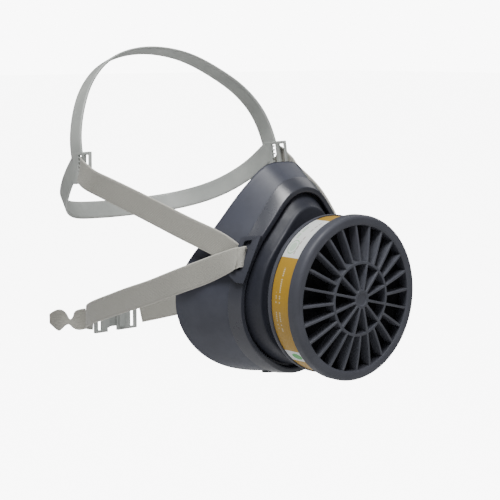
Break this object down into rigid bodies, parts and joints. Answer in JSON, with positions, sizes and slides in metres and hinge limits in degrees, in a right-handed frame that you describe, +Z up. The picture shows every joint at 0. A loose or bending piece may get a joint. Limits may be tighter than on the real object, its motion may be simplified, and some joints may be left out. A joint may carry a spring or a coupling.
{
  "type": "respirator mask",
  "caption": "Half-mask painter's respirator with a front screw-in gas canister, rubber facepiece, moulded head cradle and elastic straps that clasp behind the neck.",
  "frame": {"origin": "on the canister's axis at the plane of the wearer's mouth, inside the face seal", "axes": "the canister points along -Y, the wearer's head is towards +Y, +X is the wearer's left and +Z is up"},
  "size_m": [0.1574, 0.2503, 0.1898],
  "materials": {
    "facepiece_rubber": "satin",
    "frame_rubber": "gloss",
    "cowl_plastic": "satin",
    "silicone": "satin",
    "seal_rubber": "matte",
    "canister_plastic": "satin",
    "label_paper": "satin",
    "filter_felt": "matte",
    "sieve_metal": "satin",
    "charcoal": "matte",
    "cradle_plastic": "satin",
    "clasp_plastic": "satin",
    "strap_elastic": "matte"
  },
  "bodies": {
    "mask": {"facepiece": "facepiece_rubber", "yoke_frame": "frame_rubber", "front_cowl": "cowl_plastic", "canister_socket": "cowl_plastic", "inhalation_valve_seat": "cowl_plastic", "exhalation_valve_seat": "cowl_plastic", "upper_strap_right": "strap_elastic", "upper_strap_left": "strap_elastic", "lower_strap_left": "strap_elastic", "lower_strap_right": "strap_elastic", "neck_clasp_loop": "clasp_plastic"},
    "canister_carriage": {"canister_gasket": "seal_rubber"},
    "canister": {"canister_shell": "canister_plastic", "canister_neck": "canister_plastic", "canister_label": "label_paper", "grille_cap": "canister_plastic", "prefilter_pad": "filter_felt", "front_sieve": "sieve_metal", "carbon_bed": "charcoal", "rear_sieve": "sieve_metal", "rear_dust_pad": "filter_felt"},
    "inhalation_flap": {"inhalation_valve_flap": "silicone"},
    "exhalation_flap": {"exhalation_valve_flap": "silicone"},
    "exhalation_cover": {"exhalation_valve_cover": "cowl_plastic"},
    "cradle": {"head_cradle": "cradle_plastic"},
    "clasp_hook": {"neck_clasp_hook": "clasp_plastic", "strap_tail": "strap_elastic"}
  },
  "joints": [
    {"name": "canister_advance", "type": "slide", "parent": "mask", "child": "canister_carriage", "axis": [0, -1, 0], "range_m": [0, 0.0081]},
    {"name": "canister_turn", "type": "hinge", "parent": "canister_carriage", "child": "canister", "pos_m": [0, -0.06, 0], "axis": [0, -1, 0], "range_deg": [0, 720]},
    {"name": "inhalation_flap_lift", "type": "slide", "parent": "mask", "child": "inhalation_flap", "axis": [0, 1, 0], "range_m": [0, 0.0013], "stiffness_N_per_m": 20, "springref_m": -0.0006},
    {"name": "exhalation_flap_lift", "type": "slide", "parent": "mask", "child": "exhalation_flap", "axis": [0, -0.1532, -0.9882], "range_m": [0, 0.001], "stiffness_N_per_m": 20, "springref_m": -0.0006},
    {"name": "exhalation_cover_pull", "type": "slide", "parent": "mask", "child": "exhalation_cover", "axis": [0, -0.1532, -0.9882], "range_m": [0, 0.008]},
    {"name": "cradle_pull", "type": "slide", "parent": "mask", "child": "cradle", "axis": [0, 0.9021, 0.4315], "range_m": [0, 0.025], "stiffness_N_per_m": 100, "springref_m": -0.02, "deforming": ["upper_strap_right", "upper_strap_left"]},
    {"name": "clasp_release", "type": "slide", "parent": "mask", "child": "clasp_hook", "axis": [0, 0, 1], "range_m": [0, 0.018], "deforming": ["lower_strap_right"]}
  ],
  "couplings": [
    {"joint": "canister_advance", "follows": "canister_turn", "m_per_rad": 0.00063662}
  ]
}
